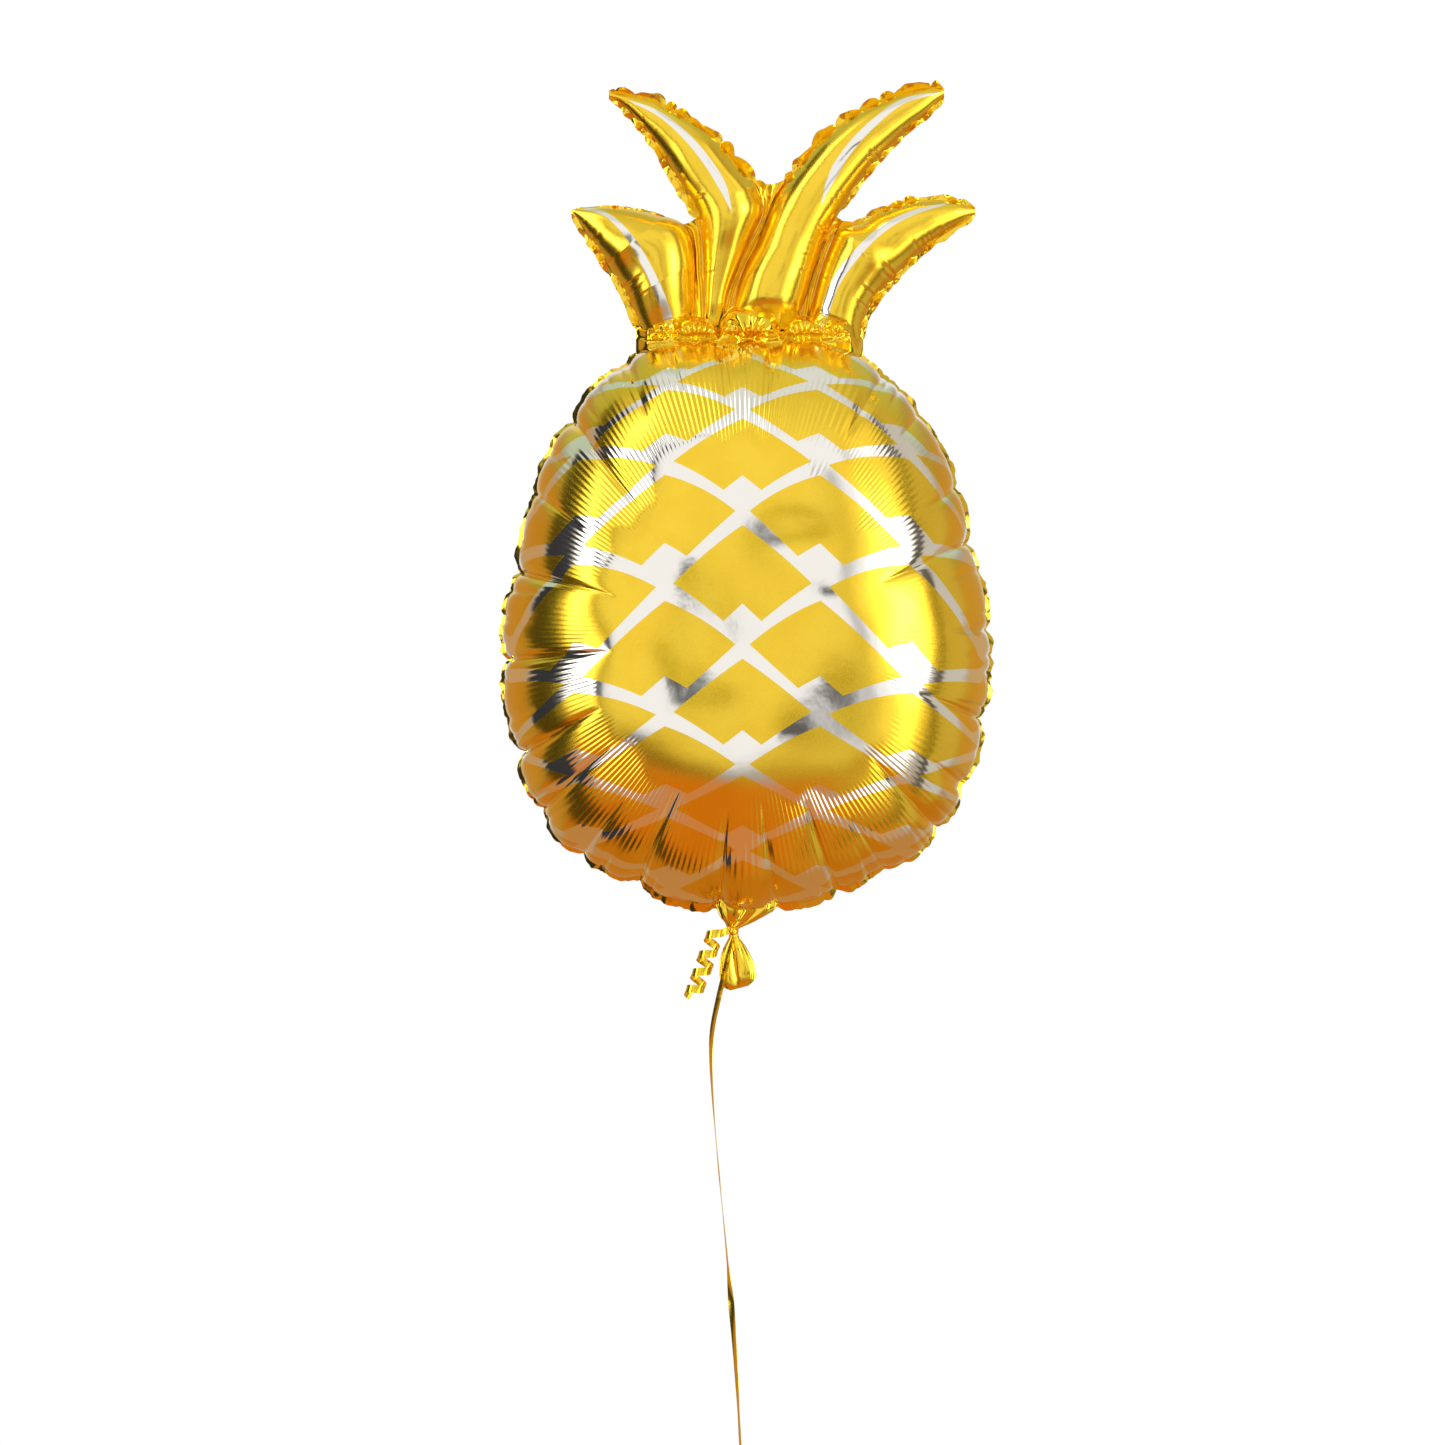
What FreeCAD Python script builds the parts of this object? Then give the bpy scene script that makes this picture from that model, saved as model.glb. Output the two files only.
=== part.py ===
"""Pineapple-shaped foil balloon, inflated and tied off with a curling ribbon, as a parametric FreeCAD document.

The envelope is two printed foil sheets, heat-sealed along one flat seam. Each sheet is modelled as the shells
that the seal divides it into: a body, and four leaves that open into the body's top. A two-film valve lies inside
the bottom of the body. Below the tie hang the free end of the inflation tail, a curled ribbon end and the long
ribbon with its hand loop.

Frame: origin at the centre of the tied neck, +Z up through the envelope, +X to the right seen from the front,
+Y to the rear. The seam lies in the plane Y = 0. Millimetres and degrees.
"""

import FreeCAD, Part
import math
import os
from functools import partial

import Sketcher

V = FreeCAD.Vector

# Driving dimensions. Each becomes a cell of the spreadsheet with this alias.
SIZES = {
    # foil
    "foil_wall": 0.8,
    "seam_width": 10.0,
    "seam_thickness": 1.6,
    # body of the envelope
    "body_width": 482.0,
    "body_depth": 292.0,
    "body_height": 580.0,
    "body_bottom": 8.0,
    "body_shift": 13.0,
    # crown: where the leaves leave the body
    "crown_depth": 32.0,
    "crown_gap": 5.5,
    "leaf_fullness": 0.86,
    # neck and tie
    "neck_diameter": 9.0,
    "neck_mouth_width": 28.0,
    "neck_mouth_depth": 18.0,
    "tie_clearance": 0.05,
    "tie_thickness": 1.2,
    "tie_height": 6.0,
    "knot_width": 9.5,
    "knot_depth": 6.0,
    "knot_height": 9.0,
    # free end of the inflation tail
    "tail_pivot_drop": 8.0,
    "tail_gap": 0.4,
    "tail_width": 36.0,
    "tail_depth": 19.0,
    "tail_length": 50.0,
    "tail_lean": 4.0,
    "tail_root_diameter": 12.0,
    "tail_root_length": 6.0,
    # valve films
    "valve_width": 22.0,
    "valve_length": 95.0,
    "valve_film": 0.4,
    "valve_gap": 0.3,
    # ribbon
    "ribbon_width": 8.0,
    "ribbon_thickness": 0.6,
    "ribbon_front": 11.8,
    "ribbon_gap": 0.4,
    "curl_diameter": 18.0,
    "curl_length": 74.0,
    "curl_lean": 18.0,
    "curl_start_x": 19.0,
    "curl_start_z": 1.0,
    "curl_rear": 3.0,
    "loop_diameter": 40.0,
    "loop_knot_size": 9.0,
}

# The leaves stand side by side on the crown in this order, crown_gap apart. Each leans by lean from the vertical
# towards side, and its centreline is an arc of that radius through sweep degrees. It is width across and depth deep
# at its base, and belly across where it is widest.
LEAVES = {
    "outer_left": {"side": -1, "lean": 3.0, "sweep": 70.0, "radius": 139.0,
                   "width": 46.0, "depth": 20.0, "belly": 57.0},
    "inner_left": {"side": -1, "lean": -16.0, "sweep": 84.0, "radius": 192.0,
                   "width": 29.0, "depth": 28.0, "belly": 56.0},
    "inner_right": {"side": 1, "lean": 11.0, "sweep": 54.0, "radius": 322.0,
                    "width": 66.0, "depth": 30.0, "belly": 64.0},
    "outer_right": {"side": 1, "lean": 13.0, "sweep": 67.0, "radius": 171.0,
                    "width": 56.0, "depth": 20.0, "belly": 58.0},
}
for leaf_name, leaf_sizes in LEAVES.items():
    for key, number in leaf_sizes.items():
        SIZES[f"{leaf_name}_{key}"] = number

# Shares of the body's height, width and depth at each station from the neck up.
BODY_STATIONS = [
    (0.03, 0.30, 0.24),
    (0.08, 0.54, 0.46),
    (0.15, 0.765, 0.67),
    (0.26, 0.915, 0.87),
    (0.47, 1.0, 1.0),
    (0.68, 0.925, 0.94),
    (0.82, 0.80, 0.72),
    (0.925, 0.61, 0.38),
]

# How far along its sweep each station of a leaf is, after its base, and the leaf's width there as a share of belly.
# At the first station the leaf is as wide as its base and its belly are on average.
LEAF_STATIONS = [(0.16, None), (0.42, 1.0), (0.68, 0.80), (0.87, 0.50), (1.0, 0.18)]
LEAF_CAVITY_END = 0.985
LEAF_SEAM_END = 1.035

# Shares of the tail's length, width and depth at each station below its root.
TAIL_STATIONS = [(0.24, 0.72, 0.78), (0.52, 1.0, 1.0), (0.82, 0.86, 0.72), (1.0, 0.60, 0.17)]

# The long ribbon's route after its start under the knot, as X and Z, in one plane in front of the tail.
RIBBON_ROUTE = [
    (-6.0, -34.0),
    (-14.0, -66.0),
    (-22.0, -104.0),
    (-21.5, -150.0),
    (-14.5, -235.0),
    (-5.5, -325.0),
    (2.0, -415.0),
    (6.0, -480.0),
    (9.0, -540.0),
]
ARC_SHARE = 0.45
KNOT_DROP = 0.5

FAR = 2000.0


def add_sheet(doc):
    """The spreadsheet of driving dimensions."""
    sheet = doc.addObject("Spreadsheet::Sheet", "Sizes")
    for row, (alias, number) in enumerate(SIZES.items(), start=1):
        sheet.set(f"A{row}", alias.replace("_", " "))
        sheet.set(f"B{row}", str(number))
        sheet.setAlias(f"B{row}", alias)
    widths = " + ".join(f"{leaf}_width" for leaf in LEAVES)
    add_formula(sheet, "crown_width", f"{widths} + {len(LEAVES) + 1} * crown_gap")
    reach = "-crown_width / 2"
    for leaf in LEAVES:
        add_formula(sheet, f"{leaf}_base", f"{reach} + crown_gap + {leaf}_width / 2")
        reach = f"{leaf}_base + {leaf}_width / 2"
    doc.recompute()
    return sheet


def add_formula(sheet, alias, formula):
    """A cell, after the ones in use, that is worked out from others."""
    row = len(sheet.getUsedCells()) // 2 + 1
    sheet.set(f"A{row}", alias.replace("_", " "))
    sheet.set(f"B{row}", f"={formula}")
    sheet.setAlias(f"B{row}", alias)


def bind(obj, **expressions):
    """Binds properties of obj to expressions. A double underscore stands for a dot in the property's name."""
    for name, expression in expressions.items():
        obj.setExpression(name.replace("__", "."), expression)
    return obj


def placed(obj, x="0", y="0", z="0"):
    """Binds where obj stands."""
    return bind(obj, Placement__Base__x=x, Placement__Base__y=y, Placement__Base__z=z)


def ellipse(doc, name, section):
    """One cross-section of a lobe: half its width along X and half its depth along Y, tilted about Y."""
    ring = doc.addObject("Part::Ellipse", name)
    ring.Placement = FreeCAD.Placement(V(), FreeCAD.Rotation(V(0, 1, 0), 10))
    placed(ring, x=section["x"], z=section["z"])
    bind(ring, Placement__Rotation__Angle=f"({section['tilt']}) * 1 deg",
         MajorRadius=section["wide"], MinorRadius=section["deep"])
    return ring


def lobe(doc, name, sections):
    """A closed solid through cross-sections, bottom to top."""
    rings = [ellipse(doc, f"{name}_ring{n}", section) for n, section in enumerate(sections)]
    loft = doc.addObject("Part::Loft", name)
    loft.Sections = rings
    loft.Solid = True
    loft.Ruled = False
    return loft


def joined(doc, kind, name, base, tool):
    """A Part boolean of two objects: Cut, Common or Fuse."""
    result = doc.addObject(f"Part::{kind}", name)
    result.Base = base
    result.Tool = tool
    return result


def half_space(doc, name, side):
    """A box that holds everything in front of the seam plane (side -1) or behind it (side 1)."""
    box = doc.addObject("Part::Box", name)
    box.Length, box.Width, box.Height = FAR, FAR, FAR
    return placed(box, x=str(-FAR / 2), y=str(-FAR if side < 0 else 0), z=str(-FAR / 2))


CROWN_BASE = "(Sizes.body_bottom + Sizes.body_height)"


def body_sections(inset="0", margin="0"):
    """Cross-sections of the body, drawn in by inset, or spread sideways and upwards by margin."""
    sections = [{
        "x": "Sizes.body_shift / 2",
        "z": "Sizes.body_bottom",
        "tilt": "0",
        "wide": f"Sizes.neck_mouth_width / 2 - ({inset}) + ({margin})",
        "deep": f"Sizes.neck_mouth_depth / 2 - ({inset})",
    }]
    for rise, wide, deep in BODY_STATIONS:
        sections.append({
            "x": "Sizes.body_shift",
            "z": f"Sizes.body_bottom + Sizes.body_height * {rise}",
            "tilt": "0",
            "wide": f"Sizes.body_width * {wide} / 2 - ({inset}) + ({margin})",
            "deep": f"Sizes.body_depth * {deep} / 2 - ({inset})",
        })
    sections.append({
        "x": "Sizes.body_shift",
        "z": f"{CROWN_BASE} + ({margin})",
        "tilt": "0",
        "wide": f"Sizes.crown_width / 2 - ({inset}) + ({margin})",
        "deep": f"Sizes.crown_depth / 2 - ({inset})",
    })
    return sections


def leaf_section(leaf, share, half_wide, half_deep):
    """One cross-section of a leaf, share of the way along its arc."""
    size = {key: f"Sizes.{leaf}_{key}" for key in ("side", "base", "lean", "sweep", "radius")}
    start = f"({size['lean']} * 1 deg)"
    here = f"(({size['lean']} + {size['sweep']} * {share}) * 1 deg)"
    return {
        "x": f"Sizes.body_shift + {size['base']} + {size['side']} * {size['radius']} * (cos({start}) - cos({here}))",
        "z": f"{CROWN_BASE} + {size['radius']} * (sin({here}) - sin({start}))",
        "tilt": f"{size['side']} * ({size['lean']} + {size['sweep']} * {share})",
        "wide": half_wide,
        "deep": half_deep,
    }


def leaf_sections(leaf, inset="0", margin="0"):
    """Cross-sections of one leaf, from its flat base to its tip, drawn in by inset or spread sideways by margin."""
    end = LEAF_SEAM_END if margin != "0" else LEAF_CAVITY_END if inset != "0" else 1.0
    base, belly = f"Sizes.{leaf}_width / 2", f"Sizes.{leaf}_belly / 2"
    first = leaf_section(leaf, 0.0, f"{base} - ({inset}) + ({margin})", f"Sizes.{leaf}_depth / 2 - ({inset})")
    first["tilt"] = "0"
    sections = [first]
    for share, fullness in LEAF_STATIONS:
        half = f"{belly} * {fullness}" if fullness else f"({base} + {belly}) / 2"
        sections.append(leaf_section(leaf, share if share < 1 else end, f"{half} - ({inset}) + ({margin})",
                                     f"{half} * Sizes.leaf_fullness - ({inset})"))
    return sections


def add_lobe(doc, name, sections, sides, neighbour=None):
    """One gas-filled lobe: its outside as a solid, and its front and rear foil shells, cut back to a neighbour."""
    outer = lobe(doc, f"{name}_outside", sections())
    inner = lobe(doc, f"{name}_cavity", sections(inset="Sizes.foil_wall"))
    shell = joined(doc, "Cut", f"{name}_shell", outer, inner)
    if neighbour:
        shell = joined(doc, "Cut", f"{name}_clear_shell", shell, neighbour)
    foils = [joined(doc, "Common", f"{name}_foil_{side}", shell, box) for side, box in sides.items()]
    return outer, foils


def fused(doc, name, shapes):
    """The union of several objects."""
    union = doc.addObject("Part::MultiFuse", name)
    union.Shapes = shapes
    union.Refine = True
    return union


def slab_of(doc, name, solid, plane, thickness):
    """A flat slab about the seam plane, with the outline that the solid has there."""
    face = joined(doc, "Common", f"{name}_face", solid, plane)
    slab = doc.addObject("Part::Extrusion", name)
    slab.Base = face
    slab.DirMode = "Custom"
    slab.Dir = V(0, 1, 0)
    slab.Symmetric = True
    slab.Solid = True
    return bind(slab, LengthFwd=thickness)


def add_envelope(doc, sides):
    """The body and four leaves, each a front and a rear foil, and the one flat seam that borders and joins them."""
    plane = doc.addObject("Part::Plane", "seam_plane")
    plane.Length, plane.Width = FAR, FAR
    plane.Placement = FreeCAD.Placement(V(-FAR / 2, 0, -FAR / 2), FreeCAD.Rotation(V(1, 0, 0), 90))
    lobes = {"body": body_sections}
    for leaf in LEAVES:
        lobes[f"leaf_{leaf}"] = partial(leaf_sections, leaf)
    nodes, holes, outlines, neighbour = [], [], [], None
    for name, sections in lobes.items():
        outside, foils = add_lobe(doc, name, sections, sides, neighbour)
        neighbour = outside if name != "body" else None
        nodes += foils
        spread = lobe(doc, f"{name}_spread", sections(margin="Sizes.seam_width"))
        outlines.append(slab_of(doc, f"{name}_outline", spread, plane, "Sizes.seam_thickness"))
        holes.append(slab_of(doc, f"{name}_hole", outside, plane, "Sizes.seam_thickness * 2"))
    outline = fused(doc, "seam_outline", outlines)
    hole = fused(doc, "seam_holes", holes)
    return [*nodes, joined(doc, "Cut", "seam_border", outline, hole)]


def add_neck(doc):
    """The gathered foil between the body and the tie: a waist that the ribbon grips, flaring to the body's bottom."""
    radius = "Sizes.neck_diameter / 2"
    waist = "Sizes.tie_height / 2"
    sections = [
        {"x": "0", "z": f"-{waist}", "tilt": "0", "wide": radius, "deep": radius},
        {"x": "0", "z": f"{waist}", "tilt": "0", "wide": radius, "deep": radius},
        {"x": "Sizes.body_shift / 2", "z": "Sizes.body_bottom", "tilt": "0",
         "wide": "Sizes.neck_mouth_width / 2", "deep": "Sizes.neck_mouth_depth / 2"},
    ]
    gather = lobe(doc, "neck_gather", sections)
    gather.Ruled = True
    return [gather]


def origin_plane(body, role):
    """One of a body's own origin planes."""
    return next(f for f in body.Origin.OriginFeatures if f.Role == role)


def new_sketch(body, name, role):
    """A sketch on one of the body's origin planes."""
    sketch = body.newObject("Sketcher::SketchObject", name)
    sketch.AttachmentSupport = [(origin_plane(body, role), "")]
    sketch.MapMode = "FlatFace"
    return sketch


def rectangle(sketch, left, bottom, width, height):
    """A rectangle whose four numbers are bound to expressions."""
    corners = [V(1, 1, 0), V(9, 1, 0), V(9, 5, 0), V(1, 5, 0)]
    for n in range(4):
        sketch.addGeometry(Part.LineSegment(corners[n], corners[(n + 1) % 4]), False)
    for n in range(4):
        sketch.addConstraint(Sketcher.Constraint("Coincident", n, 2, (n + 1) % 4, 1))
    for n, kind in enumerate(("Horizontal", "Vertical") * 2):
        sketch.addConstraint(Sketcher.Constraint(kind, n))
    for kind, points, number, expression in (
        ("DistanceX", (-1, 1, 0, 1), 1, left),
        ("DistanceY", (-1, 1, 0, 1), 1, bottom),
        ("DistanceX", (0, 1, 0, 2), 8, width),
        ("DistanceY", (1, 1, 1, 2), 4, height),
    ):
        index = sketch.addConstraint(Sketcher.Constraint(kind, *points, number))
        sketch.setExpression(f"Constraints[{index}]", expression)


def pad(body, sketch, name, length, midplane=False):
    """A pad of a sketch, by a bound length."""
    feature = body.newObject("PartDesign::Pad", name)
    feature.Profile = sketch
    if midplane:
        feature.Midplane = True
    bind(feature, Length=length)
    sketch.Visibility = False
    return feature


def revolve(body, sketch, name):
    """A full turn of a sketch about its vertical axis."""
    feature = body.newObject("PartDesign::Revolution", name)
    feature.Profile = sketch
    feature.ReferenceAxis = (sketch, ["V_Axis"])
    feature.Angle = 360.0
    return feature


def new_body(doc, label):
    """An empty PartDesign body, named for its node."""
    body = doc.addObject("PartDesign::Body", label)
    body.Label = label
    return body


def add_valve(doc):
    """Two thin films that lie flat against each other inside the bottom of the body."""
    bodies = []
    for label, side in (("valve_film_front", -1), ("valve_film_rear", 1)):
        body = new_body(doc, label)
        sketch = new_sketch(body, f"{label}_outline", "XZ_Plane")
        rectangle(sketch, "Sizes.body_shift / 2 - Sizes.valve_width / 2", "Sizes.body_bottom",
                  "Sizes.valve_width", "Sizes.valve_length")
        pad(body, sketch, f"{label}_pad", "Sizes.valve_film")
        offset = "Sizes.valve_gap / 2" if side > 0 else "-Sizes.valve_gap / 2"
        lies = f"{offset} + Sizes.valve_film" if side > 0 else offset
        placed(body, y=lies)
        bodies.append(body)
    return bodies


def add_tie(doc):
    """The turns of ribbon round the neck, and the knot at the front of them."""
    neck = "(Sizes.neck_diameter / 2 + Sizes.tie_clearance)"
    wrap = new_body(doc, "ribbon_wrap")
    ring = new_sketch(wrap, "ribbon_wrap_section", "XZ_Plane")
    rectangle(ring, neck, "-Sizes.tie_height / 2", "Sizes.tie_thickness", "Sizes.tie_height")
    revolve(wrap, ring, "ribbon_wrap_turn")

    knot = new_body(doc, "ribbon_knot")
    ball = knot.newObject("PartDesign::AdditiveEllipsoid", "ribbon_knot_ball")
    bind(ball, Radius1="Sizes.knot_height / 2", Radius2="Sizes.knot_width / 2", Radius3="Sizes.knot_depth / 2")
    placed(ball, y=f"-({neck} + Sizes.tie_thickness + Sizes.knot_depth * 0.36)", z=str(-KNOT_DROP))
    doc.recompute()
    seat = knot.newObject("PartDesign::SubtractiveCylinder", "ribbon_knot_seat")
    bind(seat, Radius=f"{neck} + Sizes.tie_thickness", Height="Sizes.knot_height * 3")
    placed(seat, z="-Sizes.knot_height * 1.5")
    return [wrap, knot]


def tail_sections(inset="0"):
    """Cross-sections of the free end of the tail, from its mouth up to its root."""
    root = "(Sizes.tail_pivot_drop + Sizes.tail_root_length)"
    radius = "Sizes.tail_root_diameter / 2"
    sections = [{"x": "0", "z": f"-{root}", "tilt": "0", "wide": f"{radius} - ({inset})",
                 "deep": f"{radius} * 0.98 - ({inset})"}]
    for drop, wide, deep in TAIL_STATIONS:
        sections.append({
            "x": f"Sizes.tail_lean * {drop}",
            "z": f"-{root} - Sizes.tail_length * {drop}",
            "tilt": "0",
            "wide": f"Sizes.tail_width / 2 * {wide} - ({inset})",
            "deep": f"Sizes.tail_depth / 2 * {deep} - ({inset})",
        })
    return sections[::-1]


def add_tail(doc, sides):
    """The free end of the inflation tail: a gathered root with a round top, and two foil layers open at the mouth."""
    body = new_body(doc, "tail_root")
    ball = "(Sizes.tail_pivot_drop - Sizes.tie_height / 2 - Sizes.tail_gap)"
    top = body.newObject("PartDesign::AdditiveSphere", "tail_root_ball")
    bind(top, Radius=ball)
    placed(top, z="-Sizes.tail_pivot_drop")
    doc.recompute()
    flare = body.newObject("PartDesign::AdditiveCone", "tail_root_flare")
    bind(flare, Radius1="Sizes.tail_root_diameter / 2", Radius2=ball, Height="Sizes.tail_root_length")
    placed(flare, z="-Sizes.tail_pivot_drop - Sizes.tail_root_length")

    outer = lobe(doc, "tail_outside", tail_sections())
    inner = lobe(doc, "tail_cavity", tail_sections(inset="Sizes.foil_wall"))
    shell = joined(doc, "Cut", "tail_shell", outer, inner)
    return [body, *(joined(doc, "Common", f"tail_foil_{side}", shell, box) for side, box in sides.items())]


def add_curl(doc):
    """The short curled end of the ribbon, as the round space that its helix fills."""
    body = new_body(doc, "ribbon_curl")
    body.Placement = FreeCAD.Placement(V(), FreeCAD.Rotation(V(0, 1, 0), 10))
    tube = body.newObject("PartDesign::AdditiveCylinder", "ribbon_curl_tube")
    bind(tube, Radius="Sizes.curl_diameter / 2", Height="Sizes.curl_length")
    placed(tube, z="-Sizes.curl_length")
    bind(body, Placement__Rotation__Angle="Sizes.curl_lean * 1 deg")
    placed(body, x="-Sizes.curl_start_x", y="Sizes.curl_rear", z="-Sizes.curl_start_z")
    return [body]


def rounded_path(points):
    """A wire of straight runs joined by tangent arcs, each as large as its two runs allow."""
    edges, at, radii = [], points[0], []
    for before, corner, after in zip(points, points[1:], points[2:]):
        into, out = (corner - before), (after - corner)
        turn = into.getAngle(out)
        cut = ARC_SHARE * min(into.Length, out.Length)
        radii.append(cut / math.tan(turn / 2))
        start = corner - V(into).normalize() * cut
        end = corner + V(out).normalize() * cut
        inward = (V(out).normalize() - V(into).normalize()).normalize()
        centre = corner + inward * math.hypot(radii[-1], cut)
        middle = centre - inward * radii[-1]
        edges += [Part.LineSegment(at, start).toShape(), Part.Arc(start, middle, end).toShape()]
        at = end
    edges.append(Part.LineSegment(at, points[-1]).toShape())
    print("ribbon arc radii, mm:", [round(r) for r in radii])
    return Part.Wire(edges)


def add_long_ribbon(doc, sheet):
    """The long ribbon as a flat strip along its route, then its end knot and its hand loop."""
    width, thick = float(sheet.ribbon_width), float(sheet.ribbon_thickness)
    under_knot = -KNOT_DROP - float(sheet.knot_height) / 2 - float(sheet.ribbon_gap)
    route = [(0.0, under_knot), *RIBBON_ROUTE]
    path = rounded_path([V(x, -float(sheet.ribbon_front), z) for x, z in route])
    first = path.Edges[0]
    start, along = first.valueAt(first.FirstParameter), first.tangentAt(first.FirstParameter)
    across, deep = along.cross(V(0, 1, 0)) * (width / 2), V(0, thick / 2, 0)
    corners = [start + across + deep, start - across + deep, start - across - deep, start + across - deep]
    maker = Part.BRepOffsetAPI.MakePipeShell(path)
    maker.setBiNormalMode(V(0, 1, 0))
    maker.add(Part.makePolygon([*corners, corners[0]]))
    maker.build()
    maker.makeSolid()
    strip = doc.addObject("Part::Feature", "ribbon_tether")
    strip.Shape = maker.shape()
    print("ribbon volume over section times length:", strip.Shape.Volume / (width * thick * path.Length))

    end_x, end_z = RIBBON_ROUTE[-1]
    knot = new_body(doc, "loop_knot")
    ball = knot.newObject("PartDesign::AdditiveEllipsoid", "loop_knot_ball")
    bind(ball, Radius1="Sizes.loop_knot_size / 2", Radius2="Sizes.loop_knot_size / 2",
         Radius3="Sizes.loop_knot_size / 3")
    placed(ball, x=str(end_x), y="-Sizes.ribbon_front", z=f"{end_z} - Sizes.loop_knot_size / 2")
    loop_centre = f"{end_z} - Sizes.loop_knot_size - Sizes.loop_diameter / 2 - Sizes.ribbon_thickness"
    loop = new_body(doc, "hand_loop")
    band = new_sketch(loop, "hand_loop_section", "XY_Plane")
    rectangle(band, "Sizes.loop_diameter / 2", "-Sizes.ribbon_width / 2", "Sizes.ribbon_thickness",
              "Sizes.ribbon_width")
    revolve(loop, band, "hand_loop_turn")
    placed(loop, x=str(end_x), y="-Sizes.ribbon_front", z=loop_centre)
    return [strip, knot, loop]


def check(doc, nodes):
    """Stops the build if an object failed or a node isn't one or more valid solids."""
    failed = [o.Name for o in doc.Objects if "Invalid" in o.State or "Error" in o.State]
    if failed:
        raise RuntimeError(f"these objects failed: {failed}")
    for node in nodes:
        if node.Shape.isNull() or not node.Shape.isValid() or not node.Shape.Solids:
            raise RuntimeError(f"{node.Label} has no valid solid")


def main():
    doc = FreeCAD.newDocument("pineapple_foil_balloon")
    sheet = add_sheet(doc)
    sides = {"front": half_space(doc, "front_side", -1), "rear": half_space(doc, "rear_side", 1)}
    nodes = add_envelope(doc, sides)
    nodes += add_neck(doc)
    nodes += add_valve(doc)
    nodes += add_tie(doc)
    nodes += add_tail(doc, sides)
    nodes += add_curl(doc)
    nodes += add_long_ribbon(doc, sheet)
    doc.recompute()
    check(doc, nodes)
    os.makedirs("parts", exist_ok=True)
    for node in nodes:
        node.Shape.exportStep(f"parts/{node.Label}.step")
        print(node.Label, "solids", len(node.Shape.Solids), "volume", round(node.Shape.Volume, 1))


main()
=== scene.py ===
"""The looks of a gold foil pineapple balloon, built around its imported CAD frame.

Lengths in this script are in millimetres until a mesh is made, and metres in the file. The frame's
origin is the middle of the tie on the neck, X is right, Y is away from the camera and Z is up.
"""

import math

import bmesh
import bpy
import numpy as np
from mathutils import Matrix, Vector


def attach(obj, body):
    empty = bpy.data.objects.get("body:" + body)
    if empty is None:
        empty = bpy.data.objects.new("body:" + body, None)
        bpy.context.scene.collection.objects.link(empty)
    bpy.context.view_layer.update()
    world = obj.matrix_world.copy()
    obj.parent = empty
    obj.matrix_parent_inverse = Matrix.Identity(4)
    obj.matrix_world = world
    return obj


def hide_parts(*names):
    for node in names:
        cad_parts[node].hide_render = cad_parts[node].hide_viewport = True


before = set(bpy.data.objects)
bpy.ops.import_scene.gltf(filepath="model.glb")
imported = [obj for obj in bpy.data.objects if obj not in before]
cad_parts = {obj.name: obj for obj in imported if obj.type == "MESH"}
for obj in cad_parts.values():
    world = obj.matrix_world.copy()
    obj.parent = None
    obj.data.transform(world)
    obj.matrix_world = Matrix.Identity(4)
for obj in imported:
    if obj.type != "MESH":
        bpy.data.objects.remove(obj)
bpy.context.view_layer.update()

MM = 0.001

# ---------------------------------------------------------------- camera and floor
VIEW_CENTRE = (-10.5, 207.5)  # X and Z in the middle of the picture
VIEW_SIDE = 1445.0
CAMERA_DISTANCE = 6000.0
FLOOR_MIDDLE = (10, 0, -750)

# ---------------------------------------------------------------- body
BODY_CENTRE = (13.0, 290.0)  # X and Z
BODY_DEPTH = 146.0
BODY_HALF_WIDTH = 240.0
BODY_COLUMNS = 1080
BODY_ROWS = 90
CREASE_WIDTH = 5.0
RIPPLE_PITCH = 6.6
RIPPLE_HEIGHT = 0.42
# Height and half width of the weld line, from the crown down to the neck.
WELD_LINE = [
    (591, 52), (585, 92), (570, 120), (545, 151), (514, 175), (484, 194), (440, 213),
    (386, 226), (300, 244), (218, 240), (150, 223), (106, 200), (78, 174), (52, 128),
    (34, 84), (24, 42), (19, 14),
]
# The deep radial creases: degrees clockwise from the top, the share of the radius where each one
# starts, and its depth at the weld line.
CREASES = [
    (5, 0.76, 3.0), (17, 0.88, 1.5), (27, 0.74, 3.5), (38, 0.84, 2.5), (54, 0.78, 4.0),
    (67, 0.56, 6.5), (88, 0.80, 4.5), (108, 0.70, 6.5), (123, 0.82, 4.5), (134, 0.64, 7.0),
    (149, 0.76, 4.5), (160, 0.62, 7.0), (174, 0.60, 6.0), (186, 0.60, 6.0), (204, 0.58, 7.5),
    (217, 0.74, 5.0), (231, 0.64, 7.0), (244, 0.62, 7.0), (265, 0.54, 8.0), (287, 0.54, 8.0),
    (304, 0.74, 4.5), (321, 0.58, 6.0), (336, 0.80, 3.5), (346, 0.82, 3.0), (355, 0.74, 3.5),
]
# The shallow dents in the flat middle: X, Z, size across, size up, depth.
DENTS = [
    (-35, 290, 42, 60, 1.6), (75, 385, 60, 28, 2.6), (105, 215, 48, 50, 2.4),
    (-60, 120, 70, 34, 2.2), (30, 210, 60, 70, -1.5), (-70, 430, 50, 60, -1.6),
    (110, 310, 45, 55, -2.0), (20, 480, 80, 50, -1.2), (-90, 230, 40, 60, -1.2),
]

# ---------------------------------------------------------------- printed lattice
LATTICE_MIDDLE = 9.0
LATTICE_LEVELS = [-80, 0, 84, 172, 290, 420, 520, 586, 650]  # crossings up the middle
LATTICE_FIRST_LEVEL = -4

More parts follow.
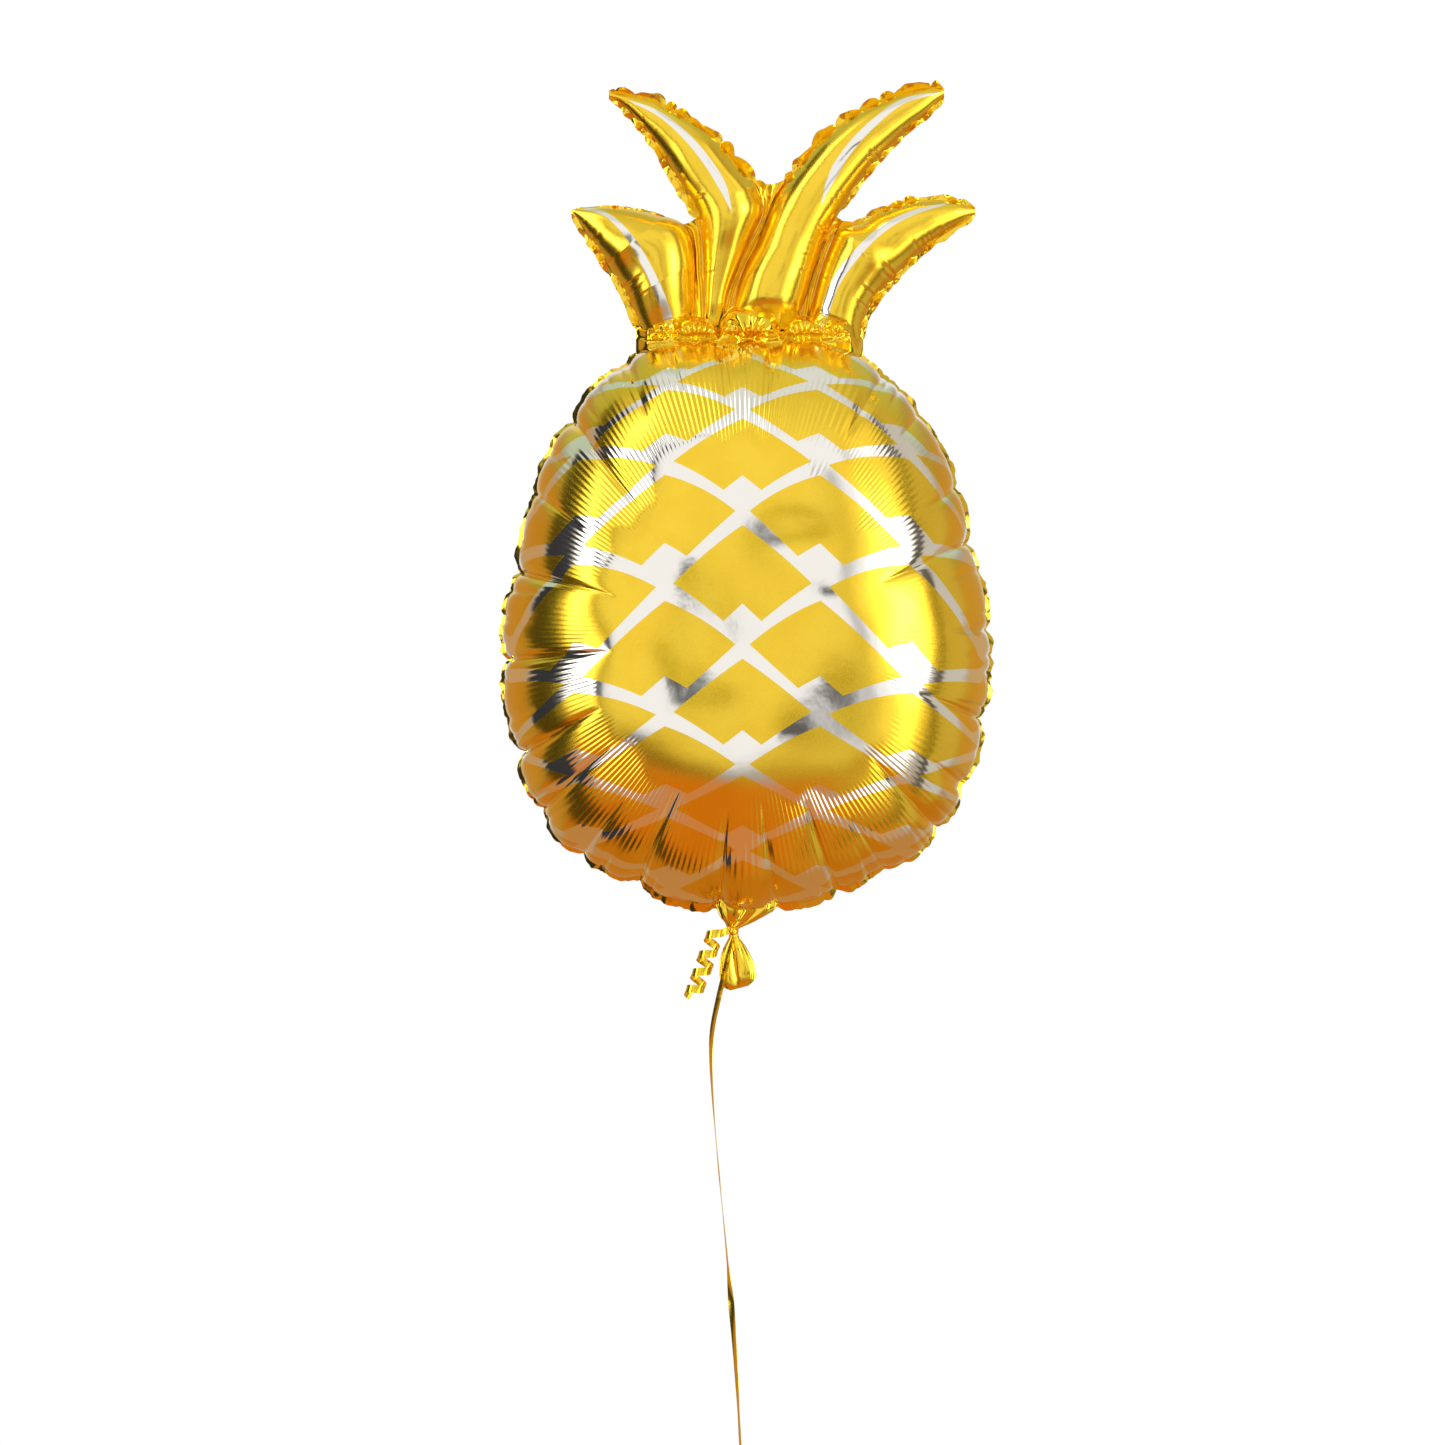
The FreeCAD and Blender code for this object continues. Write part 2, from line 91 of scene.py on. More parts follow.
# ---------------------------------------------------------------- crown
# The arched tops of the gathered foil: X of the middle, half width and height.
CROWN_ARCHES = [(17, 31, 24), (-36, 21, 11), (-70, 14, 8), (70, 20, 11), (103, 17, 11)]
CROWN_BOTTOM = 574
CROWN_CREASE = 593
CROWN_TOP = 602

# ---------------------------------------------------------------- neck and tail
NECK_TOP = 32
NECK_LENGTH = 35.5
# The tail's outline: the share of the way down, the half width and the half depth.
TAIL_PROFILE = [
    (0, 4.0, 3.9), (0.1, 5.6, 4.5), (0.25, 10.6, 6.4), (0.45, 15.4, 7.1), (0.65, 18.0, 6.9),
    (0.82, 17.6, 6.0), (0.93, 14.6, 4.2), (1, 9.0, 1.2),
]
TAIL_TOP = -3.0
TAIL_LENGTH = 55

# ---------------------------------------------------------------- ribbon
RIBBON_WIDTH = 8.0
RIBBON_FRONT = -11.8  # Y of the long ribbon
RIBBON_FOLD = 40  # degrees between two faces that make a sharp edge
TETHER_ROUTE = [
    (0, -5.4), (-6, -34), (-14, -66), (-22, -104), (-21.5, -150), (-14.5, -235),
    (-5.5, -325), (2, -415), (6, -480), (9, -540),
]
# How far the ribbon's flat face is turned from the front, in degrees, down its length.
TETHER_TWIST = [
    (0, -49), (60, -52), (110, -57), (150, -74), (190, -83), (280, -83), (330, -78),
    (370, -40), (400, -56), (460, -72), (540, -76),
]


# ================================================================ small tools
def smooth_line(points, count, closed=False):
    """A smooth line through the points, sampled evenly along its length."""
    p = np.array(points, float)
    if closed:
        p = np.vstack([p[-1:], p, p[:2]])
    else:
        p = np.vstack([2 * p[:1] - p[1:2], p, 2 * p[-1:] - p[-2:-1]])
    t = np.linspace(0, 1, 30, endpoint=False)[:, None]
    runs = []
    for a, b, c, d in zip(p, p[1:], p[2:], p[3:]):
        bend = (2 * a - 5 * b + 4 * c - d) * t**2 + (3 * b - a - 3 * c + d) * t**3
        runs.append(0.5 * (2 * b + (c - a) * t + bend))
    line = np.vstack(runs + [p[-2:-1]])
    along = lengths_along(line)
    where = np.linspace(0, along[-1], count)
    return np.stack([np.interp(where, along, line[:, k]) for k in range(p.shape[1])], 1)


def lengths_along(line):
    """The length from a line's start to each of its points."""
    steps = np.linalg.norm(np.diff(line, axis=0), axis=1)
    return np.concatenate([[0], np.cumsum(steps)])


def step(low, high, x):
    """0 below low, 1 above high, and smooth between."""
    t = np.clip((x - low) / (high - low), 0, 1)
    return t * t * (3 - 2 * t)


def wander(x, spacing, seed, turn=None):
    """A smooth random wave from -1 to 1, with a new value each spacing. It closes at turn."""
    random = np.random.default_rng(seed)
    count = max(4, round(turn / spacing)) if turn else 512
    values = random.uniform(-1, 1, count)
    t = x / (turn / count) if turn else x / spacing
    low = np.floor(t).astype(int)
    share = t - low
    share = share * share * (3 - 2 * share)
    return values[low % count] * (1 - share) + values[(low + 1) % count] * share


def lumps(x, z, size, seed):
    """Smooth random hills and hollows over a flat area, from -1 to 1."""
    random = np.random.default_rng(seed)
    values = random.uniform(-1, 1, (64, 64))
    tx, tz = x / size, z / size
    ix, iz = np.floor(tx).astype(int), np.floor(tz).astype(int)
    sx, sz = tx - ix, tz - iz
    sx, sz = sx * sx * (3 - 2 * sx), sz * sz * (3 - 2 * sz)
    low = values[ix % 64, iz % 64] * (1 - sx) + values[(ix + 1) % 64, iz % 64] * sx
    high = values[ix % 64, (iz + 1) % 64] * (1 - sx) + values[(ix + 1) % 64, (iz + 1) % 64] * sx
    return low * (1 - sz) + high * sz


def rounded(values, spread):
    """A closed row of values with its corners averaged away."""
    waves = np.fft.rfft(values)
    fade = np.exp(-2 * (math.pi * spread * np.arange(len(waves)) / len(values)) ** 2)
    return np.fft.irfft(waves * fade, len(values))


def facets(x, z, size, seed):
    """Flat facets that meet in sharp ridges, as in crumpled foil, from 0 to about 1."""
    random = np.random.default_rng(seed)
    offsets = random.uniform(0, 1, (32, 32, 2))
    heights = random.uniform(0, 1, (32, 32))
    tx, tz = x / size, z / size
    ix, iz = np.floor(tx).astype(int), np.floor(tz).astype(int)
    nearest = np.full(np.shape(x), 9.0)
    for dx in (-1, 0, 1):
        for dz in (-1, 0, 1):
            cx, cz = (ix + dx) % 32, (iz + dz) % 32
            gap_x = ix + dx + offsets[cx, cz, 0] - tx
            gap_z = iz + dz + offsets[cx, cz, 1] - tz
            nearest = np.minimum(nearest, np.hypot(gap_x, gap_z) + 0.5 * heights[cx, cz])
    return np.clip(nearest, 0, 1.4)


def surface(name, points, material, body, node, maps=None, sharp=None):
    """A smooth mesh from a grid of points, in rows and columns. Points that meet are joined."""
    points = np.asarray(points, float)
    rows, columns = points.shape[:2]
    index = np.arange(rows * columns).reshape(rows, columns)
    corners = [index[:-1, :-1], index[:-1, 1:], index[1:, 1:], index[1:, :-1]]
    faces = np.stack(corners, -1).reshape(-1, 4)
    mesh = bpy.data.meshes.new(name)
    mesh.from_pydata((points.reshape(-1, 3) * MM).tolist(), [], faces.tolist())
    for label, values in (maps or {}).items():
        layer = mesh.uv_layers.new(name=label)
        flat = np.asarray(values, float).reshape(-1, 2)[faces.ravel()]
        layer.data.foreach_set("uv", flat.astype(np.float32).ravel())
    tidy = bmesh.new()
    tidy.from_mesh(mesh)
    bmesh.ops.remove_doubles(tidy, verts=tidy.verts, dist=2e-6)
    bmesh.ops.dissolve_degenerate(tidy, edges=tidy.edges, dist=1e-6)
    for face in tidy.faces:
        face.smooth = True
    tidy.to_mesh(mesh)
    tidy.free()
    if sharp:
        mesh.set_sharp_from_angle(angle=math.radians(sharp))
    return piece(name, mesh, material, body, node)


def piece(name, data, material, body, nodes):
    """Puts a mesh or curve in the scene, riding on its body and standing for its CAD nodes."""
    made = bpy.data.objects.new(name, data)
    bpy.context.scene.collection.objects.link(made)
    data.materials.append(material)
    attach(made, body)
    for node in [nodes] if isinstance(nodes, str) else nodes:
        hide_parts(node)
    return made


# ================================================================ materials
class Nodes:
    """Adds shader nodes to a tree, with short calls for the sums."""

    def __init__(self, tree):
        self.tree = tree

    def add(self, kind, inputs=None, **settings):
        node = self.tree.nodes.new(kind)
        for key, value in settings.items():
            setattr(node, key, value)
        for key, value in (inputs or {}).items():
            self.feed(node.inputs[key], value)
        return node

    def feed(self, socket, value):
        if isinstance(value, bpy.types.NodeSocket):
            self.tree.links.new(value, socket)
        else:
            socket.default_value = value

    def sum(self, operation, *values):
        node = self.add("ShaderNodeMath", operation=operation)
        for socket, value in zip(node.inputs, values):
            self.feed(socket, value)
        return node.outputs[0]

    def mix(self, share, low, high):
        node = self.add("ShaderNodeMix", data_type="RGBA")
        for socket, value in ((0, share), (6, low), (7, high)):
            self.feed(node.inputs[socket], value)
        return node.outputs[2]

    def range(self, value, low, high, to_low=0.0, to_high=1.0):
        node = self.add("ShaderNodeMapRange", interpolation_type="SMOOTHSTEP")
        for socket, given in enumerate((value, low, high, to_low, to_high)):
            self.feed(node.inputs[socket], given)
        return node.outputs[0]

    def noise(self, where, scale, detail, rough=0.5):
        node = self.add(
            "ShaderNodeTexNoise",
            {"Vector": where, "Scale": scale, "Detail": detail, "Roughness": rough},
        )
        return node.outputs["Fac"]


def start_material(name):
    """An empty material and the helper that fills it."""
    material = bpy.data.materials.new(name)
    material.use_nodes = True
    material.node_tree.nodes.clear()
    return material, Nodes(material.node_tree)


def shade(n, inputs):
    """Ends a material in one shader with these inputs."""
    shader = n.add("ShaderNodeBsdfPrincipled", inputs)
    n.add("ShaderNodeOutputMaterial", {"Surface": shader.outputs[0]})


GOLD = (0.93, 0.645, 0.045, 1)
DEEP_GOLD = (0.90, 0.60, 0.035, 1)
SILVER = (0.88, 0.865, 0.84, 1)


def foil(name, crinkle, print_mask=None):
    """Metallised film: gold print over bare silver where there is a print, else gold all over."""
    material, n = start_material(name)
    place = n.add("ShaderNodeTexCoord").outputs["Object"]
    cloudy = n.noise(place, 22.0, 3.0)
    speckle = n.noise(place, 2600.0, 1.0)
    gold = n.mix(n.range(cloudy, 0.35, 0.65), DEEP_GOLD, GOLD)
    if print_mask:
        printed = print_mask(n)
        colour = n.mix(printed, SILVER, gold)
        satin = n.sum("MULTIPLY", n.range(speckle, 0.3, 0.75, 0.17, 0.30), printed)
        unprinted = n.sum("SUBTRACT", 1.0, printed)
        bare = n.sum("MULTIPLY", n.range(cloudy, 0.3, 0.7, 0.07, 0.13), unprinted)
        roughness = n.sum("ADD", satin, bare)
    else:
        colour = gold
        roughness = n.range(n.noise(place, 60.0, 3.0), 0.3, 0.7, 0.078, 0.182)
    height = n.noise(place, 70.0, 2.0, 0.45)
    bump = n.add(
        "ShaderNodeBump", {"Strength": crinkle, "Distance": 0.0012, "Height": height}
    ).outputs[0]
    shade(
        n,
        {
            "Base Color": colour,
            "Metallic": 1.0,
            "Roughness": roughness,
            "Normal": bump,
            "Coat Weight": 0.25,
            "Coat Roughness": 0.06,
        },
    )
    return material


def print_place(n):
    """Where a point is in the print, as two sockets."""
    place = n.add("ShaderNodeUVMap", uv_map="print").outputs[0]
    return n.add("ShaderNodeSeparateXYZ", {"Vector": place}).outputs[:2]


def lattice_mask(n):
    """1 on the gold diamonds and 0 on the silver bars between them."""
    across, up = print_place(n)
    p = n.sum("FRACT", across)
    q = n.sum("FRACT", up)

    def below_bar(along, across):
        bar = n.sum("MULTIPLY_ADD", n.sum("MULTIPLY", across, across), 0.09, 0.10)
        return n.sum("LESS_THAN", along, n.sum("SUBTRACT", 1.0, bar))

    middle = n.sum("MULTIPLY", n.sum("ADD", p, q), 0.5)
    aside = n.sum("MULTIPLY", n.sum("ABSOLUTE", n.sum("SUBTRACT", p, q)), 0.48)
    above_peak = n.sum("GREATER_THAN", middle, n.sum("SUBTRACT", 0.26, aside))
    diamond = n.sum("MULTIPLY", below_bar(p, q), below_bar(q, p))
    return n.sum("MULTIPLY", diamond, above_peak)


def stripe_mask(n):
    """1 on the gold and 0 on the pale stripe that runs up a leaf."""
    away, _ = print_place(n)
    return n.sum("GREATER_THAN", n.sum("ABSOLUTE", away), 1.0)


def ribbon_finish(name):
    """Gold curling ribbon: a satin film with fine lines along its length."""
    material, n = start_material(name)
    along = n.add("ShaderNodeUVMap", uv_map="print").outputs[0]
    stretched = n.add(
        "ShaderNodeMapping", {"Vector": along, "Scale": (9.0, 0.6, 1.0)}
    ).outputs[0]
    lines = n.noise(stretched, 3.0, 2.0)
    colour = n.mix(n.range(lines, 0.3, 0.7), DEEP_GOLD, GOLD)
    bump = n.add(
        "ShaderNodeBump", {"Strength": 0.08, "Distance": 0.0003, "Height": lines}
    ).outputs[0]
    shade(
        n,
        {
            "Base Color": colour,
            "Metallic": 1.0,
            "Roughness": n.range(lines, 0.2, 0.8, 0.16, 0.26),
            "Normal": bump,
        },
    )
    return material


def valve_finish(name):
    """Clear film with a faint haze, for the valve's two films inside the body."""
    material, n = start_material(name)
    place = n.add("ShaderNodeTexCoord").outputs["Object"]
    haze = n.noise(place, 90.0, 3.0)
    shade(
        n,
        {
            "Base Color": n.mix(haze, (0.75, 0.78, 0.8, 1), (0.92, 0.93, 0.94, 1)),
            "Roughness": n.range(haze, 0.2, 0.8, 0.1, 0.3),
            "Alpha": 0.6,
        },
    )
    return material


def floor_finish(name):
    """A pale matt floor with a faint mottle."""
    material, n = start_material(name)
    place = n.add("ShaderNodeTexCoord").outputs["Object"]
    mottle = n.noise(place, 6.0, 4.0)
    shade(
        n,
        {
            "Base Color": n.mix(mottle, (0.78, 0.77, 0.75, 1), (0.84, 0.83, 0.81, 1)),
            "Roughness": 0.7,
        },
    )
    return material


# ================================================================ camera and light
def make_camera():
    """A long lens, level with the picture's middle."""
    data = bpy.data.cameras.new("camera")
    data.lens = data.sensor_width * CAMERA_DISTANCE / VIEW_SIDE
    data.clip_end = 100
    camera = bpy.data.objects.new("camera", data)
    camera.location = Vector((VIEW_CENTRE[0], -CAMERA_DISTANCE, VIEW_CENTRE[1])) * MM
    camera.rotation_euler = (math.radians(90), 0, 0)
    bpy.context.scene.collection.objects.link(camera)
    bpy.context.scene.camera = camera


# Soft boxes and dark things around the balloon: sideways angle from the camera's side (right is
# positive) from and to, height angle from and to, softness in degrees, and colour. Where two
# overlap, the later one shows.
STUDIO = [
    (-40, 40, -22, 60, 7, (1.02, 1.00, 0.95)),  # the bright room behind the camera
    (-180, 180, 55, 95, 12, (0.80, 0.80, 0.70)),  # ceiling
    (110, 260, 30, 80, 10, (0.55, 0.62, 0.42)),
    (-160, 30, -95, -31, 5, (0.66, 0.235, 0.055)),  # warm floor
    (30, 110, -95, -46, 8, (0.62, 0.32, 0.12)),
    (150, 210, -95, -16, 8, (0.55, 0.24, 0.055)),
    (112, 156, -95, -28, 8, (0.55, 0.24, 0.055)),
    (112, 156, -22, 20, 8, (0.60, 0.37, 0.15)),  # warm walls to the right and left behind
    (-156, -108, -95, -28, 8, (0.55, 0.24, 0.055)),
    (-156, -108, -22, 22, 8, (0.58, 0.33, 0.12)),
    (160, 200, -8, 50, 8, (0.82, 0.80, 0.75)),  # back wall
    (70, 112, -40, 50, 6, (0.62, 0.56, 0.46)),
    (-106, -74, -72, 50, 3, (0.035, 0.035, 0.035)),  # dark flag on the left
    (-70, -46, -18, 62, 2.5, (1.9, 1.85, 1.75)),  # window on the left
    (-64, -54, -8, 56, 4, (4.5, 4.4, 4.2)),
    (-46, -40, -30, 46, 1.2, (0.05, 0.055, 0.065)),
    (38, 68, -9, 28, 6, (2.4, 2.35, 2.2)),  # soft box on the right
    (43, 62, -36, -10, 5, (2.6, 2.4, 2.0)),
    (45, 62, -4, 14, 6, (7.5, 7.4, 7.2)),
    (44, 70, 24, 52, 7, (1.3, 1.25, 1.15)),
    (72, 82, -60, 50, 3, (0.12, 0.10, 0.07)),  # dark edge beside it
    (-10, -5, -9, 2, 1.2, (0.05, 0.05, 0.05)),  # camera, people and stands in front
    (6, 16, 7, 12, 2.0, (0.14, 0.13, 0.13)),
    (8, 20, -15, -9, 2.0, (0.09, 0.08, 0.07)),
    (-34, -12, -31, -20, 3, (0.16, 0.12, 0.08)),
    (20, 27, -20, 30, 3, (0.60, 0.58, 0.55)),
]
AROUND = (0.42, 0.37, 0.28, 1)


def make_world():
    """The studio, as the foil reflects it. The camera itself sees plain white."""
    world = bpy.data.worlds.new("studio")
    bpy.context.scene.world = world
    world.use_nodes = True
    world.node_tree.nodes.clear()
    n = Nodes(world.node_tree)
    split = n.add(
        "ShaderNodeSeparateXYZ", {"Vector": n.add("ShaderNodeTexCoord").outputs["Generated"]}
    )
    x, y, z = split.outputs
    turn = 180 / math.pi
    side = n.sum("MULTIPLY", n.sum("ARCTAN2", x, n.sum("MULTIPLY", y, -1.0)), turn)
    up = n.sum("MULTIPLY", n.sum("ARCSINE", z), turn)
    colour = AROUND
    for left, right, low, high, soft, tone in STUDIO:
        middle = (left + right) / 2
        away = n.sum("ABSOLUTE", n.sum("WRAP", n.sum("SUBTRACT", side, middle), 180.0, -180.0))
        half = (right - left) / 2
        whole_turn = half >= 180
        outer, inner = (400, 399) if whole_turn else (half + soft, half - soft)
        inside = n.range(away, outer, inner)
        inside = n.sum("MULTIPLY", inside, n.range(up, low - soft, low + soft))
        inside = n.sum("MULTIPLY", inside, n.range(up, high + soft, high - soft))
        colour = n.mix(inside, colour, (*tone, 1))
    seen = n.add("ShaderNodeLightPath").outputs["Is Camera Ray"]
    light = n.mix(seen, colour, (1, 1, 1, 1))
    background = n.add("ShaderNodeBackground", {"Color": light, "Strength": 1.0})
    n.add("ShaderNodeOutputWorld", {"Surface": background.outputs[0]})


def make_floor():
    """A pale round floor under the balloon. The foil doesn't reflect it."""
    mesh = bpy.data.meshes.new("floor")
    tidy = bmesh.new()
    bmesh.ops.create_circle(tidy, cap_ends=True, segments=96, radius=1.0)
    tidy.to_mesh(mesh)
    tidy.free()
    floor = bpy.data.objects.new("floor", mesh)
    floor.location = Vector(FLOOR_MIDDLE) * MM
    floor.visible_glossy = False
    mesh.materials.append(floor_finish("pale_floor"))
    bpy.context.scene.collection.objects.link(floor)


# ================================================================ ribbon
def cord_line(points, spacing):
    """The smooth line that has these control points, in millimetres, sampled evenly."""
    curve = bpy.data.curves.new("route", "CURVE")
    curve.dimensions = "3D"
    curve.resolution_u = 24
    spline = curve.splines.new("NURBS")
    spline.points.add(len(points) - 1)
    for target, (x, y, z) in zip(spline.points, points):
        target.co = (x * MM, y * MM, z * MM, 1)
    spline.order_u = 3
    spline.use_endpoint_u = True
    holder = bpy.data.objects.new("route", curve)
    bpy.context.scene.collection.objects.link(holder)
    bpy.context.view_layer.update()
    mesh = bpy.data.meshes.new_from_object(holder)
    line = np.array([v.co for v in mesh.vertices]) / MM
    bpy.data.objects.remove(holder)
    bpy.data.meshes.remove(mesh)
    along = lengths_along(line)
    where = np.linspace(0, along[-1], int(along[-1] / spacing) + 1)
    return np.stack([np.interp(where, along, line[:, k]) for k in range(3)], 1)


def strip_grid(line, across, width, thick=0.25, cup=0.0, gather=1.0):
    """A closed flat band along a line. across is the unit direction of its width at each point,
    and gather is the share of the width that it has at each point."""
    ahead = np.gradient(line, axis=0)
    ahead /= np.linalg.norm(ahead, axis=1, keepdims=True)
    across = across - ahead * np.sum(across * ahead, 1, keepdims=True)
    across /= np.linalg.norm(across, axis=1, keepdims=True)
    face = np.cross(ahead, across)
    half = width / 2
    section = [(-half, 0), (-half * 0.5, 1), (0, 1), (half * 0.5, 1), (half, 0)]
    outline = [(s, thick / 2) for s, _ in section] + [(s, -thick / 2) for s, _ in section[::-1]]
    outline.append(outline[0])
    grid = []
    for s, t in outline:
        bend = cup * (s / half) ** 2
        grid.append(line + across * s * gather + face * (t + bend))
    grid = np.stack(grid, 1)
    ends = [np.repeat(grid[k].mean(0)[None], len(outline), 0)[None] for k in (0, -1)]
    grid = np.concatenate([ends[0], grid, ends[1]])
    along = lengths_along(line)
    along = np.concatenate([along[:1], along, along[-1:]])
    sideways = np.array([s / width + 0.5 for s, _ in outline])
    maps = np.stack(np.broadcast_arrays(sideways[None, :], along[:, None] * 0.01), -1)
    return grid, maps


def ribbon_piece(name, points, maps, body, node):
    """A piece of the ribbon, whose folded edges stay sharp."""
    return surface(name, points, RIBBON, body, node, {"print": maps}, RIBBON_FOLD)


def make_tether():
    """The long ribbon, gathered where it leaves the knot and then turning as it hangs."""
    line = cord_line([(x, RIBBON_FRONT, z) for x, z in TETHER_ROUTE], 1.5)
    along = lengths_along(line)
    places, turns = zip(*TETHER_TWIST)
    turned = np.radians(np.interp(along, places, turns))
    turned = turned + 0.08 * wander(along, 30, 3)
    across = np.stack([np.cos(turned), np.sin(turned), np.zeros_like(turned)], 1)
    gather = 0.35 + 0.65 * step(0, 26, along)[:, None]
    grid, maps = strip_grid(line, across, RIBBON_WIDTH, cup=0.35, gather=gather)
    return ribbon_piece("tether_ribbon", grid, maps, "tether", "ribbon_tether"), line


def make_curl():
    """The short free end of the ribbon, curled into a loose helix that hangs beside the neck."""
    start = np.array((-2.0, -6.0, -0.5))
    top = np.array((-17.0, 3.0, -1.0))
    end = np.array((-40.0, 3.0, -68.0))
    radius, turns, per_turn = 8.4, 3.6, 40
    axis = (end - top) / np.linalg.norm(end - top)
    right = np.cross((0, 1, 0), axis)
    right /= np.linalg.norm(right)
    front = np.cross(axis, right)
    t = np.linspace(0, 1, int(turns * per_turn))
    angle = 2 * math.pi * turns * t + 0.35 * wander(t * 10, 1, 5)
    reach = radius * (1 + 0.10 * wander(t * 12, 1, 6) + 0.06 * t)
    drop = t + 0.012 * wander(t * 9, 1, 8)
    phase = math.radians(-150)
    helix = (
        top
        + (end - top) * drop[:, None]
        + right * (reach * np.cos(angle + phase))[:, None]
        + front * (reach * np.sin(angle + phase))[:, None]
    )
    lead = smooth_line([start, (start + helix[0]) / 2 + np.array((0, -0.5, 0.8)), helix[0]], 14)
    line = np.vstack([lead[:-1], helix])
    along = lengths_along(line)
    where = np.linspace(0, along[-1], int(along[-1] / 0.9))
    line = np.stack([np.interp(where, along, line[:, k]) for k in range(3)], 1)
    across = np.broadcast_to(-axis, line.shape).copy()
    grid, maps = strip_grid(line, across, RIBBON_WIDTH, cup=-0.25)
    made = ribbon_piece("curled_ribbon", grid, maps, "envelope", "ribbon_curl")
    return made


def make_loop_knot():
    """The ribbon's knot above the hand loop: a folded band pulled into a small ball."""
    centre = np.array((9.0, RIBBON_FRONT, -544.5))
    around = np.linspace(0, 2 * math.pi, 61)[None, :]
    down = np.linspace(0, math.pi, 33)[:, None]
    folds = 1 + 0.10 * np.cos(3 * around + 4 * down) + 0.05 * np.cos(7 * around - 3 * down)
    x = 4.3 * folds * np.sin(down) ** 0.8 * np.cos(around)
    y = 2.8 * folds * np.sin(down) ** 0.8 * np.sin(around)
    z = 4.4 * np.cos(down) + 0 * around
    points = np.stack([x, y, z], -1) + centre
    maps = np.stack(np.broadcast_arrays(around / 6, down / 3), -1)
    return ribbon_piece("loop_knot_fold", points, maps, "tether", "loop_knot")


def make_hand_loop():
    """The loop that a hand or a weight's hook goes through."""
    centre = np.array((9.0, RIBBON_FRONT, -569.6))
    angle = np.linspace(math.radians(96), math.radians(444), 180)
    radius = 20.2 + 0.25 * wander(angle * 4, 1, 9)
    line = centre + np.stack([radius * np.cos(angle), 0 * angle, radius * np.sin(angle)], 1)
    across = np.broadcast_to((0.0, 1.0, 0.0), line.shape).copy()
    grid, maps = strip_grid(line, across, RIBBON_WIDTH, cup=0.2)
    return ribbon_piece("hand_loop_ribbon", grid, maps, "tether", "hand_loop")


# ================================================================ body
def mylar_profile():
    """Radius, depth and length along the curve of an inflated foil disc, all as shares."""
    angle = np.linspace(0, math.pi / 2, 600)
    radius = np.sqrt(np.sin(angle))
    height = np.concatenate([[0], np.cumsum((radius[1:] + radius[:-1]) / 4 * np.diff(angle))])
    depth = height[-1] - height
    return radius, depth, lengths_along(np.stack([radius, depth], 1))


def weld_line(count):
    """The body's weld line, clockwise from the top middle, with its outward direction."""
    right = [(BODY_CENTRE[0] + half, z) for z, half in WELD_LINE]
    left = [(BODY_CENTRE[0] - half, z) for z, half in WELD_LINE[::-1]]
    line = smooth_line(right + left, count, closed=True)
    not_top = (line[:-1, 1] < 400) * 999
    start = int(np.argmin(np.abs(line[:-1, 0] - BODY_CENTRE[0]) + not_top))
    line = np.roll(line[:-1], -start, axis=0)
    line = np.vstack([line, line[:1]])
    ahead = np.gradient(line, axis=0)
    ahead[0] = ahead[-1] = line[1] - line[-2]
    out = np.stack([-ahead[:, 1], ahead[:, 0]], 1)
    out /= np.linalg.norm(out, axis=1, keepdims=True)
    facing = np.sum(out * (line - np.array(BODY_CENTRE)), 1)
    return line, out * np.sign(facing)[:, None]


def valleys(angle, rho, creases, spread):
    """How far the creases pull the foil in. Each is a sharp valley in a broad shallow one."""
    total = np.zeros(np.broadcast(angle, rho).shape)
    for degrees, start, deep in creases:
        bend = 2.0 * np.sin((rho - start) * 9 + degrees) / BODY_HALF_WIDTH
        gap = (angle - degrees + 180) % 360 - 180
        away = np.abs(np.radians(gap) + bend) * BODY_HALF_WIDTH * rho
        reach = np.clip((rho - start) / (1 - start), 0, 1)
        total += deep * reach**0.7 * np.exp(-away / (spread * (0.4 + 0.6 * reach)))
        total += 0.30 * deep * reach * np.exp(-((away / (3.2 * spread)) ** 2))
    return total


def rim_fold(angle, rho):
    """How far the foil stands in because of its deep creases and ninety small ones."""
    random = np.random.default_rng(21)
    minor = [
        (random.uniform(0, 360), random.uniform(0.84, 0.93), random.uniform(0.7, 2.2))
        for _ in range(90)
    ]
    return 1.12 * valleys(angle, rho, CREASES, CREASE_WIDTH) + valleys(angle, rho, minor, 2.4)


def around_body():
    """The weld line, its outward direction, each point's angle from the top and its length."""
    line, out = weld_line(BODY_COLUMNS + 1)
    offset = line - np.array(BODY_CENTRE)
    angle = np.degrees(np.arctan2(offset[:, 0], offset[:, 1])) % 360
    return line, out, angle, lengths_along(line)


def ripples(angle, rho, reach, seed):
    """Fine parallel ripples that run in from the weld: coarse ones and, at the rim, finer."""
    turn = reach[-1]
    phase = reach / RIPPLE_PITCH + 0.9 * wander(reach, 46, seed, turn)
    strong = 0.55 + 0.45 * wander(reach, 70, seed + 1, turn)
    top_gap = (angle + 180) % 360 - 180
    left = np.exp(-(((angle - 285) / 42) ** 2))
    bottom = 0.9 * np.exp(-(((angle - 185) / 50) ** 2))
    top = 0.8 * np.exp(-((top_gap / 26) ** 2))
    where = 0.45 + (left + bottom + top)
    starts = 0.60 + 0.07 * wander(reach, 30, seed + 2, turn)
    band = step(starts, starts + 0.05, rho) * (1 - step(0.86, 0.95, rho))
    coarse = RIPPLE_HEIGHT * band * strong * where * np.sin(2 * math.pi * phase)
    finer = np.sin(2 * math.pi * (reach / 3.1 + wander(reach, 20, seed + 3, turn)))
    return coarse + 0.10 * step(0.86, 0.97, rho) * finer


